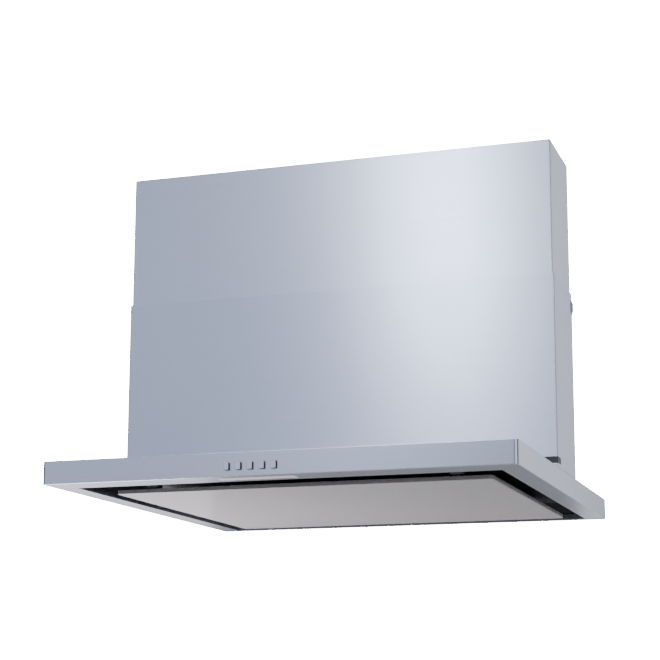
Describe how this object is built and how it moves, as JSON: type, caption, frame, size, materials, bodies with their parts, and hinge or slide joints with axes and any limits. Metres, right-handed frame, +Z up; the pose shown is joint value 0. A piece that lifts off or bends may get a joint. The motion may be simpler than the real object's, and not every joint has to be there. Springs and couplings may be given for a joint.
{
  "type": "island range hood",
  "caption": "Ceiling-hung island range hood: shallow steel canopy with a perimeter suction slot and drop-down baffle panel, telescoping slab chimney, blower and push buttons.",
  "frame": {"origin": "centre of the four ceiling bolts, on the ceiling face", "axes": "+Z up, -Y towards the front with the push buttons, +X to the right of a person facing them"},
  "size_m": [0.906, 0.905, 0.703],
  "materials": {
    "casing_steel": "fine horizontal brushed stainless steel",
    "structure_steel": "plain galvanised sheet",
    "panel_enamel": "smooth pale warm grey enamel, satin gloss",
    "liner_black": "black coated sheet, matt",
    "filter_aluminium": "pressed aluminium",
    "motor_paint": "dark grey paint",
    "shaft_steel": "turned steel",
    "wheel_steel": "galvanised sheet",
    "zinc_hardware": "bright zinc plate",
    "dark_plastic": "fine-grained black plastic",
    "grey_plastic": "grey moulded plastic",
    "button_steel": "satin metal cap",
    "board_green": "green laminate",
    "lens_frost": "frosted acrylic",
    "duct_plastic": "black moulded plastic"
  },
  "bodies": {
    "casing": {"canopy_shell": "casing_steel", "lower_cover": "casing_steel", "lower_rear_panel": "casing_steel", "side_catch_left": "casing_steel", "side_catch_right": "casing_steel", "plenum_liner": "liner_black", "throat_frame": "structure_steel", "oil_tray": "filter_aluminium", "grease_filter_left": "filter_aluminium", "grease_filter_right": "filter_aluminium", "hinge_bracket_left": "structure_steel", "hinge_bracket_right": "structure_steel", "latch_catch_left": "grey_plastic", "latch_catch_right": "grey_plastic", "lower_panel_screws": "zinc_hardware", "corner_clip_left": "dark_plastic", "corner_clip_right": "dark_plastic", "ceiling_frame": "structure_steel", "lower_strut_left": "structure_steel", "lower_strut_right": "structure_steel", "upper_strut_left": "structure_steel", "upper_strut_right": "structure_steel", "strut_bolts": "zinc_hardware", "scroll_wrap": "structure_steel", "scroll_front_plate": "structure_steel", "scroll_rear_plate": "structure_steel", "motor": "motor_paint", "motor_bracket": "structure_steel", "blower_rail_front": "structure_steel", "blower_rail_rear": "structure_steel", "outlet_adaptor": "structure_steel", "duct_collar": "duct_plastic", "control_box": "structure_steel", "control_box_lid": "structure_steel", "control_board": "board_green", "capacitor": "grey_plastic", "cable_gland": "dark_plastic", "button_housing": "dark_plastic", "switch_board": "board_green", "tactile_switches": "dark_plastic", "lamp_lens": "lens_frost", "lamp_module": "grey_plastic"},
    "baffle": {"baffle_panel": "panel_enamel", "baffle_backing": "structure_steel", "hinge_leaf_left": "structure_steel", "hinge_leaf_right": "structure_steel", "hinge_pins": "shaft_steel", "latch_studs": "shaft_steel"},
    "upper_chimney": {"upper_cover": "casing_steel", "upper_rear_panel": "casing_steel"},
    "rotor": {"fan_wheel": "wheel_steel", "motor_shaft": "shaft_steel", "wheel_nut": "zinc_hardware"},
    "damper": {"damper_flap": "duct_plastic", "damper_shaft": "shaft_steel"},
    "button_1_cap": {"button_1": "button_steel"},
    "button_2_cap": {"button_2": "button_steel"},
    "button_3_cap": {"button_3": "button_steel"},
    "button_4_cap": {"button_4": "button_steel"},
    "button_5_cap": {"button_5": "button_steel"}
  },
  "joints": [
    {"name": "baffle_swing", "type": "hinge", "parent": "casing", "child": "baffle", "pos_m": [0, 0.366, -0.687], "axis": [1, 0, 0], "range_deg": [0, 88]},
    {"name": "chimney_slide", "type": "slide", "parent": "casing", "child": "upper_chimney", "axis": [0, 0, 1], "range_m": [-0.2, 0]},
    {"name": "fan_spin", "type": "hinge", "parent": "casing", "child": "rotor", "pos_m": [0.04625, 0, -0.485], "axis": [0, 1, 0], "continuous": true},
    {"name": "damper_turn", "type": "hinge", "parent": "casing", "child": "damper", "pos_m": [0, 0, -0.257], "axis": [1, 0, 0], "range_deg": [0, 80], "stiffness_Nm_per_rad": 0.03, "springref_deg": -17.19},
    {"name": "button_1_press", "type": "slide", "parent": "casing", "child": "button_1_cap", "axis": [0, 1, 0], "range_m": [0, 0.002], "stiffness_N_per_m": 400, "springref_m": -0.003},
    {"name": "button_2_press", "type": "slide", "parent": "casing", "child": "button_2_cap", "axis": [0, 1, 0], "range_m": [0, 0.002], "stiffness_N_per_m": 400, "springref_m": -0.003},
    {"name": "button_3_press", "type": "slide", "parent": "casing", "child": "button_3_cap", "axis": [0, 1, 0], "range_m": [0, 0.002], "stiffness_N_per_m": 400, "springref_m": -0.003},
    {"name": "button_4_press", "type": "slide", "parent": "casing", "child": "button_4_cap", "axis": [0, 1, 0], "range_m": [0, 0.002], "stiffness_N_per_m": 400, "springref_m": -0.003},
    {"name": "button_5_press", "type": "slide", "parent": "casing", "child": "button_5_cap", "axis": [0, 1, 0], "range_m": [0, 0.002], "stiffness_N_per_m": 400, "springref_m": -0.003}
  ]
}
